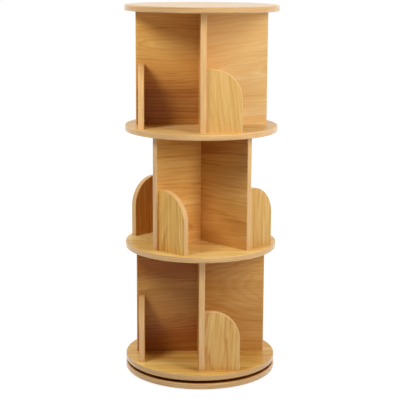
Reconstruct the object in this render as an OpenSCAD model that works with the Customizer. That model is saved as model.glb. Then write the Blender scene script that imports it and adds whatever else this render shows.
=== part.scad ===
// Revolving bookcase: three tiers of crossed upright panels between round boards, which turn together
// on a ball ring turntable. All sizes are in millimetres, with +Z up and the floor at zero.

/* [Round boards] */
// Diameter of all five round boards
disc_d = 400; // [360:1:480]
// Thickness of the round boards
disc_t = 15; // [14:0.5:22]
// Radius that softens the rims of the round boards
disc_edge_r = 3; // [1:0.5:6]

/* [Panels] */
// Clear height of a tier, which is the height of its panels
tier_h = 295; // [220:1:360]
// Thickness of the upright panels
panel_t = 15; // [14:0.5:22]
// Distance from the rim of a round board in to the end of a panel
panel_inset = 29; // [15:1:45]
// Radius that softens the upright edges at the panel ends
panel_edge_r = 2; // [0.5:0.5:5]
// Turn of the middle tier about the upright axis, in degrees
middle_angle = 45; // [40:1:50]

/* [Book stops] */
// Width of a book stop, out from the side of its panel
stop_w = 91; // [84:1:110]
// Height of a book stop
stop_h = 158; // [140:1:200]
// Thickness of a book stop
stop_t = 15; // [14:0.5:20]
// Radius of the large outer top corner of a book stop
stop_corner_r = 76; // [20:1:80]
// Distance that a book stop stands back from the end of its panel
stop_setback = 8; // [0:1:20]
// Radius that softens the free edges of a book stop
stop_edge_r = 2; // [0.5:0.5:5]

/* [Turntable] */
// Diameter of the circle on which the balls run
ball_circle_d = 260; // [220:1:280]
// Diameter of a ball
ball_d = 4; // [3:0.25:5]
// Number of balls
ball_count = 36; // [12:1:48]
// Running clearance between a ball and the grooves, on the radius
ball_play = 0.1; // [0.05:0.01:0.15]
// Width of each turntable ring, measured on the radius
ring_w = 18; // [14:0.5:22]
// Thickness of each turntable ring
ring_t = 7; // [6.5:0.5:10]
// Height by which the inner ring stands clear of the base disc, and the turning disc of the outer ring
ring_lift = 1; // [0.5:0.1:1.5]
// Radial gap between the two rings
ring_gap = 2; // [1.8:0.1:2.4]
// Wall of the ball cage, measured on the radius
cage_t = 1.2; // [0.8:0.1:1.4]
// Height of the ball cage
cage_h = 5; // [4.5:0.1:5.5]
// Clearance between a ball and its pocket in the cage, on the radius
pocket_play = 0.1; // [0.05:0.01:0.15]

/* [Turntable screws] */
// Number of screws in each ring
ring_screw_count = 6; // [3:1:8]
// Shank diameter of the ring screws
ring_screw_d = 3.5; // [3:0.5:4.5]
// Length of the ring screws
ring_screw_l = 14; // [12:0.5:18]
// Head diameter of the ring screws
ring_screw_head_d = 7; // [6:0.5:8]
// Width across the flats of the drive in a ring screw
ring_screw_drive = 2.5; // [2:0.5:3]
// Depth of the drive in a ring screw
ring_screw_drive_depth = 1.2; // [0.8:0.1:1.6]
// Angle from the right-hand arm to the first screw of each ring, which keeps them clear of the board screws
ring_screw_angle = 15; // [12:1:18]
// Diameter of the hole in the base disc through which the inner ring is screwed
access_d = 14; // [12:1:18]

/* [Board screws] */
// Shank diameter of the screws that hold the boards
screw_d = 5; // [4:0.5:6]
// Length of these screws below the head
screw_l = 45; // [30:1:60]
// Length of the tapered tip of a screw
screw_tip_l = 4; // [2:0.5:6]
// Head diameter of these screws
screw_head_d = 9; // [8:0.5:11]
// Head height of these screws
screw_head_h = 3; // [2.5:0.25:4]
// Width across the flats of the drive in a head
screw_drive = 4; // [3:0.5:5]
// Depth of the drive in a head
screw_drive_depth = 2; // [1:0.25:2.25]
// Room around a head in its counterbore, on the radius
head_room = 0.5; // [0.2:0.1:1]
// Distance from the upright axis to the inner screw of each panel arm
inner_screw_r = 50; // [35:1:70]
// Distance from the end of a panel in to its outer screw
outer_screw_inset = 31; // [25:1:40]
// Distance from the side of the panel to the screw under a book stop
stop_screw_reach = 50; // [35:1:65]

/* [Plugs and dowels] */
// Length of the flush plugs over the screw heads
plug_l = 4; // [3:0.5:5]
// Chamfer at the inner end of a plug
plug_chamfer = 0.6; // [0.3:0.1:1]
// Diameter of the dowels
dowel_d = 8; // [6:1:10]
// Chamfer at the ends of a dowel
dowel_chamfer = 1; // [0.5:0.25:1.5]
// Part of a book stop's dowel that sits in the panel
stop_dowel_in_panel = 9; // [7:0.5:10]
// Part of a book stop's dowel that sits in the book stop
stop_dowel_in_stop = 19; // [14:1:28]
// Height of the lower dowel of a book stop above the board it stands on
stop_dowel_low = 55; // [50:1:65]
// Height of the upper dowel of a book stop above the board it stands on
stop_dowel_high = 125; // [100:1:130]
// Part of a centre dowel that sits in each half panel
centre_dowel_in_half = 13; // [10:1:20]
// Number of centre dowels up the height of a tier
centre_dowel_count = 3; // [2:1:5]
// Distance from the ends of the panels to the first and last centre dowel
centre_dowel_margin = 60; // [50:1:80]
// Room at the blind end of a dowel hole or a screw hole
hole_end_room = 1; // [0.5:0.5:2]
// Clearance around screws, plugs and dowels, on the radius
fit_gap = 0.1; // [0.05:0.05:0.2]

/* [Pads] */
// Diameter of the pads under the base disc
pad_d = 30; // [20:1:40]
// Thickness of the pads
pad_t = 3; // [2:0.5:6]
// Radius that softens the rims of the pads
pad_edge_r = 0.8; // [0.4:0.1:0.9]
// Number of pads
pad_count = 6; // [4:1:8]
// Distance from the rim of the base disc in to the middle of a pad
pad_inset = 30; // [28:1:40]

/* [Hidden] */
TIERS = ["lower", "middle", "upper"];
// The four arms of each tier, by the way they point, in the order in which arm() counts them
ARMS = [
    ["front", "right", "back", "left"],
    ["front_right", "back_right", "back_left", "front_left"],
    ["front", "right", "back", "left"]
];
// The tiers and the arms by number; every second arm is a half panel, and the long panel is the other two
TIER_NUMBERS = [for (t = [0 : len(TIERS) - 1]) t];
ARM_NUMBERS = [for (a = [0 : len(ARMS[0]) - 1]) a];
HALF_ARM_NUMBERS = [for (a = ARM_NUMBERS) if (a % 2 == 1) a];
$fn = 72;
// Angle at which a pad lies at the very back
BACK = 90;
// A hair by which cutting shapes pass through the faces that they open
cut = 0.5;

disc_r = disc_d / 2;
panel_r = disc_r - panel_inset;
outer_screw_r = panel_r - outer_screw_inset;
stop_outer_r = panel_r - stop_setback;
stop_mid_r = stop_outer_r - stop_t / 2;
counterbore_d = screw_head_d + 2 * head_room;
plug_d = counterbore_d - 2 * fit_gap;
seat_depth = plug_l + screw_head_h;
stop_dowel_l = stop_dowel_in_panel + stop_dowel_in_stop;
centre_dowel_l = panel_t + 2 * centre_dowel_in_half;
centre_dowel_step = (tier_h - 2 * centre_dowel_margin) / (centre_dowel_count - 1);
groove_r = ball_d / 2 + ball_play;
ball_circle_r = ball_circle_d / 2;
outer_ring_r0 = ball_circle_r + ring_gap / 2;
inner_ring_r1 = ball_circle_r - ring_gap / 2;
outer_ring_screw_r = outer_ring_r0 + ring_w / 2;
inner_ring_screw_r = inner_ring_r1 - ring_w / 2;
turntable_h = ring_t + ring_lift;

base_z = pad_t;
base_top_z = base_z + disc_t;
ball_z = base_top_z + turntable_h / 2;
turning_z = base_top_z + turntable_h;
tier_pitch = tier_h + disc_t;
function tier_z(t) = turning_z + disc_t + t * tier_pitch;
function tier_turn(t) = t == 1 ? middle_angle : 0;

OAK_FACE = [0.83, 0.64, 0.40];
OAK_PANEL = [0.78, 0.56, 0.32];
OAK_STOP = [0.86, 0.69, 0.44];
BEECH = [0.88, 0.74, 0.55];
STEEL = [0.72, 0.73, 0.75];
ALUMINIUM = [0.82, 0.83, 0.85];
NYLON = [0.90, 0.90, 0.86];
FELT = [0.25, 0.20, 0.16];

// Puts its children at the foot of a tier, turned with it
module tier(t) {
    translate([0, 0, tier_z(t)]) rotate([0, 0, tier_turn(t)]) children();
}

// Puts its children on one arm of a tier: +X runs out along the arm and +Y is its counter-clockwise side
module arm(a) {
    rotate([0, 0, 90 * a - 90]) children();
}

// Repeats its children on the half arms, or on all four
module each_arm() {
    for (a = ARM_NUMBERS) arm(a) children();
}

// Repeats its children at the foot of a tier and, upside down, at its head
module foot_and_head() {
    children();
    translate([0, 0, tier_h]) mirror([0, 0, 1]) children();
}

// Repeats its children around a circle, from a start angle
module ring_of(count, radius, start = 0) {
    for (i = [0 : count - 1]) rotate([0, 0, start + 360 / count * i]) translate([radius, 0, 0]) children();
}

// Section of a board from its plain end at zero to its softened end at len
module softened_section(len, thick, r) {
    square([len - r, thick]);
    translate([0, r]) square([len, thick - 2 * r]);
    translate([len - r, r]) circle(r);
    translate([len - r, thick - r]) circle(r);
}

// Round board with softened rims, standing on zero
module round_board() {
    rotate_extrude($fn = 144) softened_section(disc_r, disc_t, disc_edge_r);
}

// Screw with its head's seat at zero, pointing up
module board_screw() {
    difference() {
        translate([0, 0, -screw_head_h]) cylinder(d = screw_head_d, h = screw_head_h);
        translate([0, 0, -screw_head_h - cut])
            cylinder(d = screw_drive / cos(30), h = screw_drive_depth + cut, $fn = 6);
    }
    cylinder(d = screw_d, h = screw_l - screw_tip_l);
    translate([0, 0, screw_l - screw_tip_l]) cylinder(d1 = screw_d, d2 = screw_d / 4, h = screw_tip_l);
}

// Space that a board screw takes below a tier: counterbore and through hole in a round board, and the hole above
module board_screw_space() {
    translate([0, 0, -disc_t - cut]) cylinder(d = counterbore_d, h = seat_depth + cut);
    translate([0, 0, -disc_t]) cylinder(d = screw_d + 2 * fit_gap, h = seat_depth + screw_l + hole_end_room);
}

// Plug over the head of a board screw below a tier, flush with the round board's underside
module plug() {
    translate([0, 0, -disc_t]) cylinder(d = plug_d, h = plug_l - plug_chamfer);
    translate([0, 0, -disc_t + plug_l - plug_chamfer])
        cylinder(d1 = plug_d, d2 = plug_d - 2 * plug_chamfer, h = plug_chamfer);
}

// Places of the board screws of one arm, without the one under its book stop
module panel_screw_places() {
    for (r = [inner_screw_r, outer_screw_r]) translate([r, 0, 0]) children();
}

// Place of the screw under a book stop
module stop_screw_place() {
    translate([stop_mid_r, panel_t / 2 + stop_screw_reach, 0]) children();
}

// Dowel of length len along +X, from zero
module dowel(len) {
    rotate([0, 90, 0]) {
        cylinder(d1 = dowel_d - 2 * dowel_chamfer, d2 = dowel_d, h = dowel_chamfer);
        translate([0, 0, dowel_chamfer]) cylinder(d = dowel_d, h = len - 2 * dowel_chamfer);
        translate([0, 0, len - dowel_chamfer])
            cylinder(d1 = dowel_d, d2 = dowel_d - 2 * dowel_chamfer, h = dowel_chamfer);
    }
}

// Hole for a dowel of length len along +X, from zero, with room at both ends
module dowel_space(len) {
    translate([-hole_end_room, 0, 0])
        rotate([0, 90, 0]) cylinder(d = dowel_d + 2 * fit_gap, h = len + 2 * hole_end_room);
}

// Places of a book stop's dowels, with +X pointing from the panel into the stop
module stop_dowel_places() {
    for (z = [stop_dowel_low, stop_dowel_high])
        translate([stop_mid_r, panel_t / 2 - stop_dowel_in_panel, z]) rotate([0, 0, 90]) children();
}

// Places of the centre dowels, which run along the half panels' arms
module centre_dowel_places() {
    for (i = [0 : centre_dowel_count - 1])
        translate([-centre_dowel_l / 2, 0, centre_dowel_margin + i * centre_dowel_step]) children();
}

// Everything that is drilled into a panel along one arm
module arm_holes() {
    foot_and_head() panel_screw_places() board_screw_space();
    stop_dowel_places() dowel_space(stop_dowel_l);
}

// Long panel along the front arm and the back arm of a tier
module long_panel() {
    color(OAK_PANEL)
    difference() {
        arm(0) for (turn = [0, 180]) rotate([0, 0, turn])
            linear_extrude(tier_h) translate([0, -panel_t / 2]) softened_section(panel_r, panel_t, panel_edge_r);
        for (a = [0, 2]) arm(a) arm_holes();
        arm(1) centre_dowel_places() dowel_space(centre_dowel_l);
    }
}

// Half panel along one arm, butted against the long panel's side
module half_panel(a) {
    color(OAK_PANEL)
    arm(a) difference() {
        translate([panel_t / 2, -panel_t / 2, 0])
            linear_extrude(tier_h) softened_section(panel_r - panel_t / 2, panel_t, panel_edge_r);
        arm_holes();
        centre_dowel_places() dowel_space(centre_dowel_l);
    }
}

// Book stop lying in the XZ plane: +X out from the panel's side and +Y its thickness
module book_stop_board() {
    linear_extrude(stop_h - stop_corner_r) softened_section(stop_w, stop_t, stop_edge_r);
    translate([0, 0, stop_h - stop_corner_r])
        rotate([90, 0, 90]) linear_extrude(stop_w - stop_corner_r)
            rotate([0, 0, 90]) mirror([0, 1, 0]) softened_section(stop_corner_r, stop_t, stop_edge_r);
    translate([stop_w - stop_corner_r, stop_t, stop_h - stop_corner_r])
        rotate([90, 0, 0]) rotate_extrude(angle = 90, $fn = 144)
            softened_section(stop_corner_r, stop_t, stop_edge_r);
}

// Book stop on the counter-clockwise side of one arm
module book_stop(a) {
    color(OAK_STOP)
    arm(a) difference() {
        translate([stop_outer_r, panel_t / 2, 0]) rotate([0, 0, 90]) book_stop_board();
        stop_screw_place() board_screw_space();
        stop_dowel_places() dowel_space(stop_dowel_l);
    }
}

module centre_dowels() {
    color(BEECH) arm(1) centre_dowel_places() dowel(centre_dowel_l);
}

module stop_dowels() {
    color(BEECH) each_arm() stop_dowel_places() dowel(stop_dowel_l);
}

module panel_screws() {
    color(STEEL) each_arm() foot_and_head() panel_screw_places()
        translate([0, 0, seat_depth - disc_t]) board_screw();
}

module stop_screws() {
    color(STEEL) each_arm() stop_screw_place() translate([0, 0, seat_depth - disc_t]) board_screw();
}

// Holes that tier t needs in the round board that it stands on
module holes_below(t) {
    tier(t) each_arm() {
        panel_screw_places() board_screw_space();
        stop_screw_place() board_screw_space();
    }
}

// Holes that tier t needs in the round board above it
module holes_above(t) {
    tier(t) translate([0, 0, tier_h]) mirror([0, 0, 1]) each_arm() panel_screw_places() board_screw_space();
}

// Round board under tier t, drilled for it and for the tier below
module shelf(t) {
    color(OAK_FACE)
    difference() {
        translate([0, 0, tier_z(t) - disc_t]) round_board();
        if (t < len(TIERS)) holes_below(t);
        if (t > 0) holes_above(t - 1);
        if (t == 0) translate([0, 0, turning_z - cut])
            ring_of(ring_screw_count, inner_ring_screw_r, ring_screw_angle)
                cylinder(d = ring_screw_d + 2 * fit_gap, h = ring_screw_hole_h + cut);
    }
}

// Plugs in the faces of the round board under tier t
module shelf_plugs(t) {
    color(OAK_FACE) {
        if (t < len(TIERS)) tier(t) each_arm() {
            panel_screw_places() plug();
            stop_screw_place() plug();
        }
        tier(t - 1) translate([0, 0, tier_h]) mirror([0, 0, 1]) each_arm() panel_screw_places() plug();
    }
}

// Depth of the ring screws' holes in the round boards
ring_screw_hole_h = ring_screw_l - ring_t + hole_end_room;

// Countersunk screw with the top of its head at zero, pointing up
module ring_screw() {
    head_h = (ring_screw_head_d - ring_screw_d) / 2;
    difference() {
        cylinder(d1 = ring_screw_head_d, d2 = ring_screw_d, h = head_h);
        translate([0, 0, -cut])
            cylinder(d = ring_screw_drive / cos(30), h = ring_screw_drive_depth + cut, $fn = 6);
    }
    translate([0, 0, head_h]) cylinder(d = ring_screw_d, h = ring_screw_l - head_h);
}

// Countersunk hole through a ring for such a screw
module ring_screw_space() {
    head_h = (ring_screw_head_d - ring_screw_d) / 2;
    cylinder(d1 = ring_screw_head_d + 2 * fit_gap, d2 = ring_screw_d + 2 * fit_gap, h = head_h);
    translate([0, 0, -cut]) cylinder(d = ring_screw_d + 2 * fit_gap, h = ring_t + 2 * cut);
}

// Ring with a ball groove, lying on zero; r0 and r1 are its radii and groove_z the height of the balls in it
module grooved_ring(r0, r1, groove_z) {
    rotate_extrude($fn = 144) difference() {
        translate([r0, 0]) square([r1 - r0, ring_t]);
        translate([ball_circle_r, groove_z]) circle(groove_r, $fn = 36);
    }
}

module base_disc() {
    color(OAK_FACE)
    difference() {
        translate([0, 0, base_z]) round_board();
        translate([0, 0, base_top_z - ring_screw_hole_h])
            ring_of(ring_screw_count, outer_ring_screw_r, ring_screw_angle)
                cylinder(d = ring_screw_d + 2 * fit_gap, h = ring_screw_hole_h + cut);
        translate([inner_ring_screw_r, 0, base_z - cut]) cylinder(d = access_d, h = disc_t + 2 * cut);
    }
}

module foot_pads() {
    color(FELT) ring_of(pad_count, disc_r - pad_inset, BACK)
        rotate_extrude() softened_section(pad_d / 2, pad_t, pad_edge_r);
}

module turntable_outer_ring() {
    color(ALUMINIUM)
    difference() {
        translate([0, 0, base_top_z]) grooved_ring(outer_ring_r0, outer_ring_r0 + ring_w, turntable_h / 2);
        translate([0, 0, base_top_z + ring_t])
            ring_of(ring_screw_count, outer_ring_screw_r, ring_screw_angle) mirror([0, 0, 1]) ring_screw_space();
    }
}

module outer_ring_screws() {
    color(STEEL) translate([0, 0, base_top_z + ring_t])
        ring_of(ring_screw_count, outer_ring_screw_r, ring_screw_angle) mirror([0, 0, 1]) ring_screw();
}

module turntable_inner_ring() {
    color(ALUMINIUM)
    difference() {
        translate([0, 0, base_top_z + ring_lift])
            grooved_ring(inner_ring_r1 - ring_w, inner_ring_r1, turntable_h / 2 - ring_lift);
        translate([0, 0, base_top_z + ring_lift])
            ring_of(ring_screw_count, inner_ring_screw_r, ring_screw_angle) ring_screw_space();
    }
}

module inner_ring_screws() {
    color(STEEL) translate([0, 0, base_top_z + ring_lift])
        ring_of(ring_screw_count, inner_ring_screw_r, ring_screw_angle) ring_screw();
}

module ball_cage() {
    color(NYLON) translate([0, 0, ball_z])
    difference() {
        translate([0, 0, -cage_h / 2]) rotate_extrude($fn = 144)
            translate([ball_circle_r - cage_t / 2, 0]) square([cage_t, cage_h]);
        ring_of(ball_count, ball_circle_r) rotate([0, 90, 0])
            cylinder(r = ball_d / 2 + pocket_play, h = 2 * cage_t, center = true, $fn = 36);
    }
}

module turntable_balls() {
    color(STEEL) translate([0, 0, ball_z]) ring_of(ball_count, ball_circle_r) sphere(d = ball_d, $fn = 36);
}

base_disc();
foot_pads();
turntable_outer_ring();
outer_ring_screws();
ball_cage();
turntable_balls();
turntable_inner_ring();
inner_ring_screws();
shelf(0);  // turning_disc
shelf(1);  // third_shelf
shelf(2);  // second_shelf
shelf(3);  // top_disc
shelf_plugs(1);  // third_shelf_plugs
shelf_plugs(2);  // second_shelf_plugs
shelf_plugs(3);  // top_disc_plugs
for (t = TIER_NUMBERS) {
    tier(t) long_panel();
    for (a = HALF_ARM_NUMBERS)
        tier(t) half_panel(a);
    for (a = ARM_NUMBERS)
        tier(t) book_stop(a);
    tier(t) centre_dowels();
    tier(t) stop_dowels();
    tier(t) panel_screws();
    tier(t) stop_screws();
}
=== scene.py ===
"""Looks of a revolving bookcase: lacquered oak boards, pale edge bands, turntable and studio."""

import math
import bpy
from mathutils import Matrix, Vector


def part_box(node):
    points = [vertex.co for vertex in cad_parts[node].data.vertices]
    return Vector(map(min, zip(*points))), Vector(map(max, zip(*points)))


bl_info = {
    "name": "Revolving Bookcase Finishes",
    "version": (1, 0, 0),
    "blender": (4, 5, 0),
    "location": "View3D > Sidebar > Bookcase",
    "description": "Gives the boards, edge bands, hardware and studio of a revolving bookcase their looks",
    "category": "Object",
}

import bpy
from bpy.props import FloatProperty, FloatVectorProperty, PointerProperty
from bpy.types import Operator, Panel, PropertyGroup
from mathutils import Matrix, Vector

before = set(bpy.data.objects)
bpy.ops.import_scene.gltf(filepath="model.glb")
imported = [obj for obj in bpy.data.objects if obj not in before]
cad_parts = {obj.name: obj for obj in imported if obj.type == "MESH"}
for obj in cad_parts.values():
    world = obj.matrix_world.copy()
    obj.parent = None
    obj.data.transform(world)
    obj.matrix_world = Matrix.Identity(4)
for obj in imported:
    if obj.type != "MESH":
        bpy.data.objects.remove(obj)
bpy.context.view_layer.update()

TIERS = ("lower", "middle", "upper")
# Angle of each arm's outward direction about the upright axis, in degrees, by tier and name
ARM_ANGLES = {
    "lower": {"front": -90, "right": 0, "back": 90, "left": 180},
    "middle": {"front_right": -45, "back_right": 45, "back_left": 135, "front_left": -135},
    "upper": {"front": -90, "right": 0, "back": 90, "left": 180},
}
HALF_PANELS = {"lower": ("right", "left"), "middle": ("back_right", "front_left"), "upper": ("right", "left")}
LONG_PANELS = {"lower": "front", "middle": "front_right", "upper": "front"}
ROUND_BOARDS = ("base_disc", "turning_disc", "third_shelf", "second_shelf", "top_disc")
UP = Vector((0, 0, 1))

# Side of the square frame in pixels
FRAME_PIXELS = 400
# Width of the floor, and the point at half the bookcase's height that the lights face, in metres
FLOOR_WIDTH = 120.0
LIGHT_AIM = Vector((0, 0, 0.55))
# Half the width of the soft line where two finishes meet, in metres
FEATHER = 0.0002

# Noises in oak: waves per metre along the grain and across it, offset that sets the noise apart, and its options
OAK_NOISES = {
    "bend": (3.2, 9.0, 0.0, {}),
    "sink": (5.0, 16.0, 5.2, {"detail": 1.0}),
    "ripple": (14.0, 130.0, 9.1, {}),
    "smoke": (2.6, 14.0, 3.3, {"detail": 3.0}),
    "streak": (2.8, 110.0, 1.7, {"detail": 4.0, "roughness": 0.7}),
    "thread": (11.0, 420.0, 4.4, {"detail": 2.0}),
    "fibre": (30.0, 1500.0, 7.9, {}),
    "pore": (90.0, 3200.0, 2.3, {"detail": 1.0}),
}
# How far the rings move with the first three: two in metres, the ripple in rings
BEND, SINK, RIPPLE = 0.06, 0.03, 0.8
# How much each mark of the grain darkens the wood, dulls its lacquer and stands proud of the face; the fine streaks
# have a strength of their own, and a share that follows the strength of the rings
DARKENING = {"all": 0.3, "ring": 0.42, "smoke": 0.9, "fibre": 0.4, "pore": 0.25}
DULLING = {"ring": 0.06, "pore": 0.2, "streak": 0.12}
RELIEF = {"ring": -0.35, "fibre": 0.4, "pore": -1.0}
STREAKS_ALONE, STREAKS_WITH_RINGS = 0.4, 0.55
# Depth of the grain in the face, in metres
GRAIN_DEPTH = 0.00012
# Marks per metre along three axes: streaks in the edge bands, flecks in beech, hairs in felt; and turning marks
BAND_STREAKS = (9.0, 9.0, 620.0)
BEECH_FLECKS = (900.0, 900.0, 260.0)
FELT_HAIRS = (900.0, 900.0, 2400.0)
TURNING_MARKS = 3000.0


def linear(red, green, blue):
    """A display colour of 0 to 255 per channel as the linear colour that shaders take."""
    parts = []
    for channel in (red, green, blue):
        c = channel / 255
        parts.append(c / 12.92 if c <= 0.04045 else ((c + 0.055) / 1.055) ** 2.4)
    return tuple(parts)


def colour_property(name, description, red, green, blue):
    return FloatVectorProperty(
        name=name, description=description, default=linear(red, green, blue), subtype="COLOR", size=3, min=0, max=1
    )


def length_property(name, description, default):
    return FloatProperty(name=name, description=description, default=default, min=0, unit="LENGTH", precision=4)


def share_property(name, description, default):
    return FloatProperty(name=name, description=description, default=default, min=0, max=1, subtype="FACTOR")


def angle_property(name, description, degrees):
    return FloatProperty(name=name, description=description, default=math.radians(degrees), subtype="ANGLE")


def power_property(name, description, default):
    return FloatProperty(name=name, description=description, default=default, min=0, unit="POWER")


def number_property(name, description, default):
    return FloatProperty(name=name, description=description, default=default)


# Sizes that the finishes line up with, read from the frame
disc_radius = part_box("top_disc")[1].x
panel_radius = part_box("upper_right_panel")[1].x
stop_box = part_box("upper_front_book_stop")
stop_reach = stop_box[1].x
stop_height = stop_box[1].z - stop_box[0].z


class OakSettings(PropertyGroup):
    light: colour_property("Light wood", "Colour of the pale wood between the rings", 234, 197, 129)
    middle: colour_property("Middle wood", "Colour of most of the wood", 215, 167, 93)
    dark: colour_property("Dark wood", "Colour of the rings and the dark streaks", 182, 119, 52)
    panel_stain: colour_property("Panel stain", "Colour that deepens the wood of the upright panels", 247, 233, 217)
    band: colour_property("Edge band", "Colour of the pale band on the edges of the boards", 237, 193, 130)
    band_line: colour_property("Edge band streaks", "Colour of the fine lines in the edge bands", 209, 157, 95)
    # Painted shade: the base disc's upper face inside its rim is darkened to stand for the shade in the gap under the
    # turning disc
    gap_shade_colour: colour_property(
        "Painted gap shade", "Colour of the base disc's upper face, which the tower covers", 142, 80, 38
    )
    ring_width: length_property("Ring width", "Distance between two growth rings", 0.009)
    band_width: length_property("Edge band width", "Part of the face that the edge band takes", 0.0018)
    rim_round: length_property("Rim rounding", "Radius of the rounded edges of the round boards", 0.003)
    stop_corner: length_property("Book stop corner", "Radius of the large corner of a book stop", 0.076)
    roughness: share_property("Roughness", "Roughness of the lacquered wood", 0.42)
    lacquer: share_property("Lacquer", "Strength of the clear coat", 0.22)
    top_polish: share_property("Top polish", "Strength of the clear coat on the top disc", 0.7)
    band_gloss: share_property("Edge band gloss", "Strength of the clear coat on the edge bands", 0.9)


class HardwareSettings(PropertyGroup):
    anodised: colour_property("Anodised aluminium", "Colour of the turntable rings", 58, 30, 18)
    zinc: colour_property("Zinc", "Colour of the screws", 190, 192, 194)
    steel: colour_property("Steel", "Colour of the balls", 205, 206, 208)
    nylon: colour_property("Nylon", "Colour of the ball cage", 228, 226, 214)
    beech: colour_property("Beech", "Colour of the dowels", 224, 188, 142)
    felt: colour_property("Felt", "Colour of the pads", 74, 58, 46)


class StudioSettings(PropertyGroup):
    camera_distance: length_property("Camera distance", "Distance of the camera from the upright axis", 3.0)
    camera_height: length_property("Camera height", "Height of the camera above the floor", 1.075)
    camera_turn: angle_property("Camera turn", "How far the camera stands round to the left of the front", 1.516)
    camera_pitch: angle_property("Camera pitch", "How far the camera looks down", 10.861)
    camera_roll: angle_property("Camera roll", "How far the camera leans", 0.341)
    focal_pixels: number_property("Focal length in pixels", "Focal length in pixels of the frame", 1153.3)
    centre_x: number_property("Centre across", "Pixel column that the lens looks at", 200.92)
    centre_y: number_property("Centre down", "Pixel row that the lens looks at", 184.5)
    right_power: power_property("Right light", "Power of the tall light at the front right", 19.5)
    left_power: power_property("Left light", "Power of the high light at the left", 19)
    back_power: power_property("Back lights", "Power of each of the two lights behind", 20)
    room_light: number_property("Room light", "Strength of the even light from all round", 0.06)


class Value:
    """A number or vector in a shader. Python's operators add the Math nodes."""

    def __init__(self, nodes, socket):
        self.nodes = nodes
        self.socket = socket

    def _math(self, operation, *values):
        return self.nodes.add("ShaderNodeMath", {"operation": operation}, *values)

    def __add__(self, other):
        return self._math("ADD", self, other)

    def __sub__(self, other):
        return self._math("SUBTRACT", self, other)

    def __rsub__(self, other):
        return self._math("SUBTRACT", other, self)

    def __mul__(self, other):
        return self._math("MULTIPLY", self, other)

    def __truediv__(self, other):
        return self._math("DIVIDE", self, other)

    def __rtruediv__(self, other):
        return self._math("DIVIDE", other, self)

    def __abs__(self):
        return self._math("ABSOLUTE", self)

    __radd__ = __add__
    __rmul__ = __mul__

    def fraction(self):
        return self._math("FRACT", self)

    def root(self):
        return self._math("SQRT", self)

    def larger(self, other):
        return self._math("MAXIMUM", self, other)

    def ramp(self, start, end):
        """Rises smoothly from 0 at start to 1 at end."""
        return self.nodes.add("ShaderNodeMapRange", {"interpolation_type": "SMOOTHSTEP"}, self, start, end)

    def past(self, line):
        """Steps from 0 to 1 at a line, softly enough to leave no jagged edge."""
        return self.ramp(line - FEATHER, line + FEATHER)

    def beside(self, name):
        """Another output of the node that gives this value."""
        return Value(self.nodes, self.socket.node.outputs[name])


class Nodes:
    """The nodes of a material or of the world under construction."""

    def __init__(self, owner, output):
        owner.use_nodes = True
        self.tree = owner.node_tree
        self.tree.nodes.clear()
        self.output = self.tree.nodes.new(output)

    def feed(self, socket, value):
        """Links a socket to a value of the shader, or sets it to a plain one."""
        if isinstance(value, Value):
            self.tree.links.new(value.socket, socket)
        elif socket.type == "RGBA":
            socket.default_value = (*value, 1)
        else:
            socket.default_value = value

    def add(self, kind, settings, *values, output=None, **named):
        """Adds a node: first its settings, then the values or links of its sockets, in order or by name."""
        node = self.tree.nodes.new(kind)
        for name, setting in settings.items():
            setattr(node, name, setting)
        open_sockets = [socket for socket in node.inputs if socket.enabled]
        for socket, value in zip(open_sockets, values):
            self.feed(socket, value)
        for name, value in named.items():
            self.feed(next(socket for socket in open_sockets if socket.name == name.replace("_", " ")), value)
        return Value(self, node.outputs[output] if output else next(s for s in node.outputs if s.enabled))

    def show(self, shader):
        """Links a shader to the output."""
        self.feed(self.output.inputs[0], shader)


class Finish(Nodes):
    """A material under construction."""

    def __init__(self, name):
        self.material = bpy.data.materials.new(name)
        super().__init__(self.material, "ShaderNodeOutputMaterial")
        surface = self.add("ShaderNodeBsdfPrincipled", {})
        self.shader = surface.socket.node
        self.show(surface)
        self.place = self.add("ShaderNodeTexCoord", {}, output="Object")

    def mapped(self, axes, centre):
        """Coordinates along three axes of the object, from a centre."""
        turn = Matrix([list(axis) for axis in axes])
        return self.add(
            "ShaderNodeMapping", {"vector_type": "POINT"}, self.place,
            tuple(-(turn @ Vector(centre))), tuple(turn.to_euler("XYZ")), (1, 1, 1),
        )

    def parts(self, vector):
        """The three numbers of a vector."""
        x = self.add("ShaderNodeSeparateXYZ", {}, vector)
        return x, x.beside("Y"), x.beside("Z")

    def joined(self, x, y, z):
        return self.add("ShaderNodeCombineXYZ", {}, x, y, z)

    def radius(self):
        """Distance from the upright axis."""
        x, y, _ = self.parts(self.place)
        return (x * x + y * y).root()

    def reach(self, direction):
        """Distance from the upright axis in one level direction."""
        return self.add(
            "ShaderNodeVectorMath", {"operation": "DOT_PRODUCT"}, self.place, tuple(direction), output="Value"
        )

    def stretched(self, vector, scale, offset=(0, 0, 0)):
        return self.add("ShaderNodeVectorMath", {"operation": "MULTIPLY_ADD"}, vector, scale, offset)

    def noise(self, vector, scale=1.0, detail=2.0, roughness=0.5, distortion=0.0):
        return self.add(
            "ShaderNodeTexNoise", {"noise_dimensions": "3D"}, vector,
            Scale=scale, Detail=detail, Roughness=roughness, Distortion=distortion,
        )

    def mix(self, share, first, second):
        """Mixes two colours by a share of 0 to 1."""
        return self.add("ShaderNodeMix", {"data_type": "RGBA"}, share, first, second)

    def set(self, **inputs):
        """Sets or links sockets of the shader."""
        for name, value in inputs.items():
            self.feed(self.shader.inputs[name.replace("_", " ")], value)

    def bump(self, height, distance, strength=1.0):
        """Relief of the surface; distance is its depth in metres."""
        self.set(Normal=self.add("ShaderNodeBump", {}, Strength=strength, Distance=distance, Height=height))

    def put_on(self, name):
        """Gives a node of the frame this finish."""
        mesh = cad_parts[name].data
        mesh.materials.clear()
        mesh.materials.append(self.material)


def tinted(colour, tone):
    """A colour made lighter or darker by one factor, and slightly redder where it is darker."""
    red, green, blue = colour
    return (min(red * tone, 1), min(green * tone ** 1.12, 1), min(blue * tone ** 1.3, 1))


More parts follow.
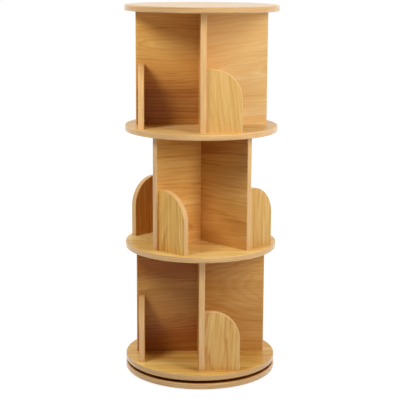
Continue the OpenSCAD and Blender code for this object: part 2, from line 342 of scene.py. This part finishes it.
def oak(name, settings, axes, centre, seed, *, tone=1.0, stain=(1, 1, 1), heart=(0.0, 0.05), slope=0.0, lean=0.0,
        figure=1.0, wave=1.0, cloud=1.0, fine=1.0, shade_stripes=(), polish=None, painted_gap_shade=None, edge=None,
        band_axes=None, band_tone=1.0):
    """Oak cut as a plain board.

    axes: the directions along the grain, across it and through the board
    seed: sets the grain of this board apart from the others'
    tone, stain: how much lighter the wood is as a whole, and in red, green and blue
    heart: how far the middle of the tree lies across the board and under it
    slope, lean: how fast that middle sinks along the grain, and how many degrees the grain turns on the board
    figure, wave: how strongly the rings show, and how far they wander
    cloud, fine: how strong the smoky patches and the fine streaks are
    shade_stripes: stripes of painted shade along the grain, each by its place across the board, half width, depth and
    shade
    polish: strength of the clear coat where it isn't the usual lacquer
    painted_gap_shade, edge: makers of the masks of the painted shade on a face that another board covers, and of the
    edge band
    band_axes, band_tone: two directions along the band and the one across its streaks, and how light it is
    """
    finish = Finish(name)
    polish = polish or settings.lacquer
    turn = math.radians(lean)
    grain_way, cross_way, face_way = axes
    grain_way, cross_way = (
        grain_way * math.cos(turn) + cross_way * math.sin(turn), cross_way * math.cos(turn) - grain_way * math.sin(turn)
    )
    board = finish.mapped((grain_way, cross_way, face_way), centre)
    along, across, through = finish.parts(board)
    # Each seed takes another part of every noise
    shift = (seed * 1.37, seed * 2.11, seed * 0.73)

    def grain(kind):
        """One of the noises, from -0.5 to 0.5."""
        lengthwise, crosswise, offset, options = OAK_NOISES[kind]
        scale = (lengthwise, crosswise, crosswise)
        return finish.noise(finish.stretched(board, scale, tuple(s + offset for s in shift)), **options) - 0.5

    # Slow waves in the tree bend the rings
    sideways = across + grain("bend") * (BEND * wave) + heart[0]
    inward = through + along * slope + grain("sink") * SINK + heart[1]
    ring = (sideways * sideways + inward * inward).root() / settings.ring_width
    ring = ring + grain("ripple") * RIPPLE
    # Each ring darkens slowly to its late wood and ends at once, and rings differ in strength
    phase = ring.fraction()
    late = phase.ramp(0.05, 0.8) * phase.ramp(1.0, 0.82)
    boldness = finish.noise(finish.joined(ring * 0.37 + seed, 0.0, 0.0), detail=1.0).ramp(0.3, 0.72)
    # Patches, streaks and fibres run along the grain, and pores lie where a ring begins
    smoke = grain("smoke")
    streak = grain("streak")
    thread = grain("thread")
    fibre = grain("fibre")
    pore = grain("pore").ramp(0.1, 0.2) * phase.ramp(0.6, 0.1)
    lines = (STREAKS_ALONE + STREAKS_WITH_RINGS * figure) * fine
    depth = late * boldness * (DARKENING["ring"] * figure) + smoke * (DARKENING["smoke"] * cloud)
    depth = depth + streak * lines + thread * lines + fibre * DARKENING["fibre"]
    depth = depth + pore * DARKENING["pore"] + DARKENING["all"]
    # Painted shade: darker stripes along the grain where a wall lies in shade, under a shelf or near the floor; they
    # deepen the wood and dim it
    brightness = 1.0
    for stripe_middle, half_width, strength, shade in shade_stripes:
        stripe = abs(across + smoke * 0.12 - stripe_middle).ramp(half_width * 1.3, half_width * 0.3)
        depth = depth + stripe * strength
        brightness = brightness - stripe * shade
    light, middle, dark = (
        tinted([channel * share for channel, share in zip(colour, stain)], tone)
        for colour in (settings.light, settings.middle, settings.dark)
    )
    colour = finish.mix(depth.ramp(-0.05, 0.5), light, middle)
    colour = finish.mix(depth.ramp(0.45, 1.1), colour, dark)
    if shade_stripes:
        colour = finish.add("ShaderNodeVectorMath", {"operation": "SCALE"}, colour, Scale=brightness)
    # Painted shade in the gap under the turning disc, on the base disc's upper face
    if painted_gap_shade:
        colour = finish.mix(painted_gap_shade(finish), colour, settings.gap_shade_colour)
    if edge:
        mask = edge(finish)
        streaks = finish.stretched(finish.mapped(band_axes, centre), BAND_STREAKS, shift)
        line = finish.noise(streaks, detail=3.0, roughness=0.6).ramp(0.35, 0.75)
        band = finish.mix(line, tinted(settings.band, band_tone), tinted(settings.band_line, band_tone))
        colour = finish.mix(mask, colour, band)
        # The band is glossier than the lacquered wood
        finish.set(Coat_Weight=mask * (settings.band_gloss - polish) + polish)
    else:
        finish.set(Coat_Weight=polish)
    roughness = late * DULLING["ring"] + pore * DULLING["pore"] + streak * DULLING["streak"] + settings.roughness
    finish.set(Base_Color=colour, Roughness=roughness, IOR=1.22, Coat_Roughness=0.2, Coat_IOR=1.5)
    relief = late * RELIEF["ring"] + fibre * RELIEF["fibre"] + pore * RELIEF["pore"]
    finish.bump(relief, GRAIN_DEPTH, strength=0.5)
    return finish


def disc_band(settings):
    """Mask of the edge band round a disc."""
    def mask(finish):
        return finish.radius().past(disc_radius - settings.band_width)
    return mask


def base_gap_shade(settings):
    """Mask of painted shade: the base disc's upper face inside its rounded rim, darkened to stand for the shade in the
    gap under the turning disc.
    """
    def mask(finish):
        _, _, height = finish.parts(finish.place)
        flat_radius = disc_radius - settings.rim_round
        middle = board_centre("base_disc").z
        inside = finish.radius().ramp(flat_radius, flat_radius - 2 * FEATHER)
        return inside * height.ramp(middle, middle + 2 * FEATHER)
    return mask


def panel_band(settings, outward):
    """Mask of the edge bands at both ends of a panel."""
    def mask(finish):
        return abs(finish.reach(outward)).past(panel_radius - settings.band_width)
    return mask


def stop_band(settings, sideways, foot):
    """Mask of the edge band along the free edges of a book stop, round its large corner."""
    def mask(finish):
        corner = settings.stop_corner
        _, _, height = finish.parts(finish.place)
        past_out = (finish.reach(sideways) - (stop_reach - corner)).larger(0.0)
        past_up = (height - (foot + stop_height - corner)).larger(0.0)
        return (past_out * past_out + past_up * past_up).root().past(corner - settings.band_width)
    return mask


def arm_axes(angle):
    """The directions out along an arm and to its counter-clockwise side."""
    turn = math.radians(angle)
    return Vector((math.cos(turn), math.sin(turn), 0)), Vector((-math.sin(turn), math.cos(turn), 0))


def board_centre(name):
    low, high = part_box(name)
    return (low + high) / 2


class BOOKCASE_OT_round_boards(Operator):
    """Finish the five round boards in oak with the grain from left to right and a pale band round the rim"""

    bl_idname = "bookcase.round_boards"
    bl_label = "Round Boards"

    def execute(self, context):
        settings = context.scene.bookcase_oak
        axes = (Vector((1, 0, 0)), Vector((0, 1, 0)), UP)
        looks = {
            # The base disc's upper face takes painted shade for the gap under the turning disc
            "base_disc": dict(tone=1.02, heart=(0.03, 0.06), slope=0.05, band_tone=0.86, painted_gap_shade=base_gap_shade(settings)),
            "turning_disc": dict(
                tone=1.12, heart=(0.12, 0.05), slope=0.08, figure=1.3, cloud=1.6, stain=(1, 1.05, 0.88), band_tone=0.82
            ),
            "third_shelf": dict(
                tone=1.12, heart=(-0.02, 0.07), slope=-0.06, figure=1.2, cloud=1.3, stain=(1, 1.12, 1.15),
                band_tone=0.94,
            ),
            "second_shelf": dict(tone=1.05, heart=(0.05, 0.05), slope=0.07, stain=(0.96, 1.06, 1.25), band_tone=0.98),
            "top_disc": dict(
                tone=1.05, heart=(-0.04, 0.06), slope=0.05, band_tone=0.82, polish=settings.top_polish
            ),
        }
        for number, name in enumerate(ROUND_BOARDS):
            oak(
                "oak_" + name, settings, axes, board_centre(name), seed=3.1 * number + 1.0,
                edge=disc_band(settings), band_axes=axes, **looks[name],
            ).put_on(name)
        return {"FINISHED"}


class BOOKCASE_OT_panels(Operator):
    """Finish the upright panels in oak with level grain and pale bands on their ends"""

    bl_idname = "bookcase.panels"
    bl_label = "Panels"

    def execute(self, context):
        settings = context.scene.bookcase_oak
        # Partly painted light: the tones and stains of the lower left and upper left panels make them darker and redder
        # as painted shade, the upper right panel is made paler and bluer and the middle front left panel lighter as
        # painted light
        looks = {
            "lower_long": dict(tone=0.97, heart=(0.03, 0.05), slope=0.05),
            "lower_right": dict(tone=1.03, heart=(-0.03, 0.06), slope=-0.25, fine=0.8),
            "lower_left": dict(
                tone=0.94, heart=(0.05, 0.012), slope=0.2, lean=-6, cloud=1.4, fine=0.65, stain=(0.93, 0.78, 0.62),
                shade_stripes=((-0.14, 0.09, 0.7, 0.0), (0.1, 0.06, 0.5, 0.0)),
            ),
            "middle_long": dict(
                tone=1.02, heart=(0.1, 0.08), slope=0.05, lean=4, wave=0.6, fine=0.75, stain=(0.93, 0.86, 0.78),
                shade_stripes=((0.13, 0.08, 0.5, 0.0),),
            ),
            "middle_back_right": dict(tone=1.0, heart=(0.0, 0.05), slope=0.12),
            "middle_front_left": dict(tone=1.2, heart=(0.11, 0.09), slope=0.02, lean=5, wave=0.4, fine=0.75),
            "upper_long": dict(tone=1.05, heart=(0.03, 0.05), slope=0.05),
            "upper_right": dict(
                tone=1.34, heart=(0.02, 0.05), slope=-0.15, lean=7, figure=0.8, fine=0.7, cloud=0.9,
                stain=(0.96, 1.05, 1.36),
            ),
            "upper_left": dict(
                tone=1.36, heart=(-0.06, 0.012), slope=0.2, wave=0.6, cloud=1.3, fine=0.55, stain=(0.92, 0.8, 0.62),
                shade_stripes=((-0.125, 0.12, 0.55, 0.36),),
            ),
        }
        number = 0
        for tier in TIERS:
            for panel in ("long", *HALF_PANELS[tier]):
                outward, _ = arm_axes(ARM_ANGLES[tier][LONG_PANELS[tier] if panel == "long" else panel])
                name = f"{tier}_{panel}_panel"
                look = {"stain": settings.panel_stain, **looks[f"{tier}_{panel}"]}
                oak(
                    "oak_" + name, settings, (outward, UP, outward.cross(UP)), board_centre(name),
                    seed=2.3 * number + 20.0, edge=panel_band(settings, outward),
                    band_axes=(UP, outward, UP.cross(outward)), **look,
                ).put_on(name)
                number += 1
        return {"FINISHED"}


class BOOKCASE_OT_book_stops(Operator):
    """Finish the twelve book stops in oak with upright grain and a pale band along their round edges"""

    bl_idname = "bookcase.book_stops"
    bl_label = "Book Stops"

    def execute(self, context):
        settings = context.scene.bookcase_oak
        looks = {
            "upper_front": dict(tone=1.05, figure=0.6, lean=-6),
            "lower_front": dict(tone=1.04, figure=1.2, lean=5),
            "middle_front_right": dict(tone=1.04, figure=1.1),
            "upper_left": dict(tone=1.08, band_tone=1.1),
            # The middle front left stop is made lighter as painted light, and the middle back left stop darker and
            # redder as painted shade on its shaded inner face
            "middle_front_left": dict(tone=1.21, figure=1.1, stain=(1, 0.98, 0.82)),
            "middle_back_left": dict(tone=0.8, stain=(1, 0.86, 0.75)),
        }
        number = 0
        for tier in TIERS:
            for arm, angle in ARM_ANGLES[tier].items():
                outward, sideways = arm_axes(angle)
                name = f"{tier}_{arm}_book_stop"
                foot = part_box(name)[0].z
                # Each stop comes from its own board
                look = {
                    "tone": 1.0 + 0.03 * math.cos(number * 1.7), "heart": (0.05 + 0.03 * math.sin(number * 2.4), 0.06),
                    "slope": 0.04, "cloud": 0.6, **looks.get(f"{tier}_{arm}", {}),
                }
                oak(
                    "oak_" + name, settings, (UP, sideways, UP.cross(sideways)), board_centre(name),
                    seed=1.9 * number + 50.0, edge=stop_band(settings, sideways, foot),
                    band_axes=(UP, sideways, outward), **look,
                ).put_on(name)
                number += 1
        return {"FINISHED"}


class BOOKCASE_OT_plugs_and_dowels(Operator):
    """Finish the flush plugs in oak to match the boards, and the dowels in beech"""

    bl_idname = "bookcase.plugs_and_dowels"
    bl_label = "Plugs and Dowels"

    def execute(self, context):
        settings = context.scene.bookcase_oak
        for number, board in enumerate(("third_shelf", "second_shelf", "top_disc")):
            turn = math.radians(8 - 5 * number)
            grain = Vector((math.cos(turn), math.sin(turn), 0))
            name = board + "_plugs"
            oak(
                "oak_" + name, settings, (grain, UP.cross(grain), UP), board_centre(name), seed=4.7 * number + 80.0,
                tone=0.97, heart=(0.02, 0.08),
            ).put_on(name)
        beech = context.scene.bookcase_hardware.beech
        for tier in TIERS:
            for kind in ("centre", "stop"):
                finish = Finish(f"beech_{tier}_{kind}_dowels")
                fleck = finish.noise(finish.stretched(finish.place, BEECH_FLECKS), detail=2.0)
                cloud = finish.noise(finish.place, scale=60.0, detail=2.0)
                share = fleck * 0.6 + cloud * 0.4
                finish.set(
                    Base_Color=finish.mix(share.ramp(0.35, 0.65), beech, tinted(beech, 0.8)),
                    Roughness=share * 0.2 + 0.5,
                )
                finish.bump(fleck, distance=0.0001)
                finish.put_on(f"{tier}_{kind}_dowels")
        return {"FINISHED"}


class BOOKCASE_OT_turntable(Operator):
    """Finish the two dark anodised aluminium rings, the nylon cage and the steel balls of the turntable"""

    bl_idname = "bookcase.turntable"
    bl_label = "Turntable"

    def execute(self, context):
        hardware = context.scene.bookcase_hardware
        for name in ("turntable_outer_ring", "turntable_inner_ring"):
            finish = Finish("anodised_" + name)
            _, _, height = finish.parts(finish.place)
            marks = finish.joined(finish.radius() * TURNING_MARKS, height * TURNING_MARKS, 0.0)
            turned = finish.noise(marks, detail=3.0)
            stain = finish.noise(finish.place, scale=35.0, detail=3.0)
            finish.set(
                Base_Color=finish.mix(stain.ramp(0.4, 0.8), hardware.anodised, tinted(hardware.anodised, 0.75)),
                Roughness=turned * 0.25 + stain * 0.15 + 0.18, Metallic=1.0,
            )
            finish.bump(turned, distance=0.00005, strength=0.5)
            finish.put_on(name)
        cage = Finish("nylon_ball_cage")
        haze = cage.noise(cage.place, scale=220.0, detail=3.0)
        cage.set(
            Base_Color=cage.mix(haze, hardware.nylon, tinted(hardware.nylon, 0.9)), Roughness=haze * 0.2 + 0.4,
            Subsurface_Weight=0.1,
        )
        cage.bump(haze, distance=0.00005)
        cage.put_on("ball_cage")
        balls = Finish("steel_turntable_balls")
        smear = balls.noise(balls.place, scale=400.0, detail=2.0)
        balls.set(
            Base_Color=balls.mix(smear.ramp(0.4, 0.8), hardware.steel, tinted(hardware.steel, 0.86)),
            Roughness=smear * 0.15 + 0.04, Metallic=1.0,
        )
        balls.put_on("turntable_balls")
        return {"FINISHED"}


class BOOKCASE_OT_screws(Operator):
    """Finish all screws in zinc plate with faint blue and yellow clouds"""

    bl_idname = "bookcase.screws"
    bl_label = "Screws"

    def execute(self, context):
        zinc = context.scene.bookcase_hardware.zinc
        names = ["outer_ring_screws", "inner_ring_screws"]
        names += [f"{tier}_{kind}_screws" for tier in TIERS for kind in ("panel", "stop")]
        for name in names:
            finish = Finish("zinc_" + name)
            cloud = finish.noise(finish.place, scale=180.0, detail=2.0)
            grit = finish.noise(finish.place, scale=1500.0, detail=2.0)
            red, green, blue = zinc
            base = finish.mix(cloud.ramp(0.35, 0.65), (red * 0.95, green, blue), (red, green * 0.97, blue * 0.85))
            finish.set(Base_Color=base, Roughness=grit * 0.2 + cloud * 0.1 + 0.2, Metallic=1.0)
            finish.bump(grit, distance=0.00004)
            finish.put_on(name)
        return {"FINISHED"}


class BOOKCASE_OT_pads(Operator):
    """Finish the pads under the base in brown felt"""

    bl_idname = "bookcase.pads"
    bl_label = "Pads"

    def execute(self, context):
        felt = context.scene.bookcase_hardware.felt
        finish = Finish("felt_foot_pads")
        hair = finish.noise(finish.stretched(finish.place, FELT_HAIRS), detail=4.0, distortion=1.5)
        tuft = finish.noise(finish.place, scale=160.0, detail=3.0)
        finish.set(
            Base_Color=finish.mix((hair * 0.7 + tuft * 0.3).ramp(0.3, 0.7), tinted(felt, 0.6), tinted(felt, 1.35)),
            Roughness=tuft * 0.1 + 0.88, Sheen_Weight=0.4, Sheen_Roughness=0.5,
        )
        finish.bump(hair, distance=0.0005)
        finish.put_on("foot_pads")
        return {"FINISHED"}


class BOOKCASE_OT_stage(Operator):
    """Set the pale floor, the soft lights, the room light and the camera"""

    bl_idname = "bookcase.stage"
    bl_label = "Stage"

    def seen_directly(self, nodes):
        """1 for rays from the camera and for reflections and refractions, 0 for the light on the object."""
        camera = nodes.add("ShaderNodeLightPath", {}, output="Is Camera Ray")
        return camera.larger(camera.beside("Is Glossy Ray")).larger(camera.beside("Is Transmission Ray"))

    def floor(self):
        bpy.ops.object.select_all(action="DESELECT")
        bpy.ops.mesh.primitive_plane_add(size=FLOOR_WIDTH, location=(0, 0, 0))
        floor = bpy.context.object
        floor.name = "studio_floor"
        material = bpy.data.materials.new("pale_floor")
        nodes = Nodes(material, "ShaderNodeOutputMaterial")
        matt = nodes.add("ShaderNodeBsdfDiffuse", {}, (0.8, 0.8, 0.8))
        # Seen directly it takes only a faint shadow, and it glows white from 3 m out and a little less nearer
        faint = nodes.add("ShaderNodeBsdfDiffuse", {}, (0.25, 0.25, 0.25))
        place = nodes.add("ShaderNodeTexCoord", {}, output="Object")
        reach = nodes.add("ShaderNodeVectorMath", {"operation": "LENGTH"}, place, output="Value")
        rise = nodes.add("ShaderNodeMapRange", {}, reach, From_Min=0.8, From_Max=3.0, To_Min=0.85, To_Max=1.0)
        glow = nodes.add("ShaderNodeEmission", {}, Strength=rise)
        shown = nodes.add("ShaderNodeAddShader", {}, faint, glow)
        nodes.show(nodes.add("ShaderNodeMixShader", {}, self.seen_directly(nodes), matt, shown))
        floor.data.materials.append(material)

    def soft_light(self, name, power, bearing, distance, rise, width, height):
        """A flat light that faces the bookcase; bearing is in degrees to the right of the front."""
        turn = math.radians(bearing)
        place = Vector((distance * math.sin(turn), -distance * math.cos(turn), rise))
        data = bpy.data.lights.new(name, "AREA")
        data.shape = "RECTANGLE"
        data.size = width
        data.size_y = height
        data.energy = power
        light = bpy.data.objects.new(name, data)
        bpy.context.scene.collection.objects.link(light)
        light.location = place
        light.rotation_euler = (LIGHT_AIM - place).to_track_quat("-Z", "Y").to_euler()
        light.visible_camera = False
        # Its reflection would turn the round boards white from the far side; the pale room gives the sheen
        light.visible_glossy = False

    def room(self, light):
        """The even light from all round, before a white background."""
        world = bpy.data.worlds.new("studio")
        bpy.context.scene.world = world
        nodes = Nodes(world, "ShaderNodeOutputWorld")
        even = nodes.add("ShaderNodeBackground", {}, (1, 1, 1), light)
        white = nodes.add("ShaderNodeBackground", {}, (1, 1, 1), 1.0)
        nodes.show(nodes.add("ShaderNodeMixShader", {}, self.seen_directly(nodes), even, white))

    def camera(self, studio):
        data = bpy.data.cameras.new("camera")
        data.sensor_fit = "HORIZONTAL"
        data.sensor_width = 36.0
        data.lens = studio.focal_pixels * data.sensor_width / FRAME_PIXELS
        data.shift_x = (FRAME_PIXELS / 2 - studio.centre_x) / FRAME_PIXELS
        data.shift_y = (studio.centre_y - FRAME_PIXELS / 2) / FRAME_PIXELS
        data.clip_end = 200
        camera = bpy.data.objects.new("camera", data)
        bpy.context.scene.collection.objects.link(camera)
        pitch, roll = studio.camera_pitch, studio.camera_roll
        right = Vector((1, 0, 0))
        ahead = Vector((0, math.cos(pitch), -math.sin(pitch)))
        up = right.cross(ahead)
        across = right * math.cos(roll) + up * math.sin(roll)
        upward = up * math.cos(roll) - right * math.sin(roll)
        pose = Matrix((across, upward, -ahead)).transposed().to_4x4()
        pose.translation = (0, -studio.camera_distance, studio.camera_height)
        camera.matrix_world = Matrix.Rotation(-studio.camera_turn, 4, "Z") @ pose
        bpy.context.scene.camera = camera

    def execute(self, context):
        studio = context.scene.bookcase_studio
        self.floor()
        self.soft_light("right_light", studio.right_power, bearing=50, distance=1.4, rise=1.35, width=0.6, height=1.1)
        self.soft_light("left_light", studio.left_power, bearing=-50, distance=1.4, rise=1.8, width=0.6, height=0.6)
        for name, bearing in (("back_right_light", 150), ("back_left_light", -140)):
            self.soft_light(name, studio.back_power, bearing, distance=2.2, rise=1.5, width=1.0, height=1.0)
        self.room(studio.room_light)
        self.camera(studio)
        context.scene.view_settings.view_transform = "Standard"
        return {"FINISHED"}


class BOOKCASE_PT_finishes(Panel):
    """Lists the finishes of the bookcase in the sidebar"""

    bl_idname = "BOOKCASE_PT_finishes"
    bl_label = "Bookcase"
    bl_space_type = "VIEW_3D"
    bl_region_type = "UI"
    bl_category = "Bookcase"

    def draw(self, context):
        for operator in OPERATORS:
            self.layout.operator(operator.bl_idname)
        for settings in (context.scene.bookcase_oak, context.scene.bookcase_hardware, context.scene.bookcase_studio):
            box = self.layout.box()
            for name in settings.bl_rna.properties.keys():
                if name not in ("rna_type", "name"):
                    box.prop(settings, name)


OPERATORS = (
    BOOKCASE_OT_round_boards,
    BOOKCASE_OT_panels,
    BOOKCASE_OT_book_stops,
    BOOKCASE_OT_plugs_and_dowels,
    BOOKCASE_OT_turntable,
    BOOKCASE_OT_screws,
    BOOKCASE_OT_pads,
    BOOKCASE_OT_stage,
)
CLASSES = (OakSettings, HardwareSettings, StudioSettings, *OPERATORS, BOOKCASE_PT_finishes)


def register():
    for cls in CLASSES:
        bpy.utils.register_class(cls)
    bpy.types.Scene.bookcase_oak = PointerProperty(type=OakSettings)
    bpy.types.Scene.bookcase_hardware = PointerProperty(type=HardwareSettings)
    bpy.types.Scene.bookcase_studio = PointerProperty(type=StudioSettings)


def unregister():
    del bpy.types.Scene.bookcase_studio
    del bpy.types.Scene.bookcase_hardware
    del bpy.types.Scene.bookcase_oak
    for cls in reversed(CLASSES):
        bpy.utils.unregister_class(cls)


def main():
    register()
    bpy.ops.bookcase.stage()
    bpy.ops.bookcase.round_boards()
    bpy.ops.bookcase.panels()
    bpy.ops.bookcase.book_stops()
    bpy.ops.bookcase.plugs_and_dowels()
    bpy.ops.bookcase.turntable()
    bpy.ops.bookcase.screws()
    bpy.ops.bookcase.pads()


if __name__ == "__main__":
    main()
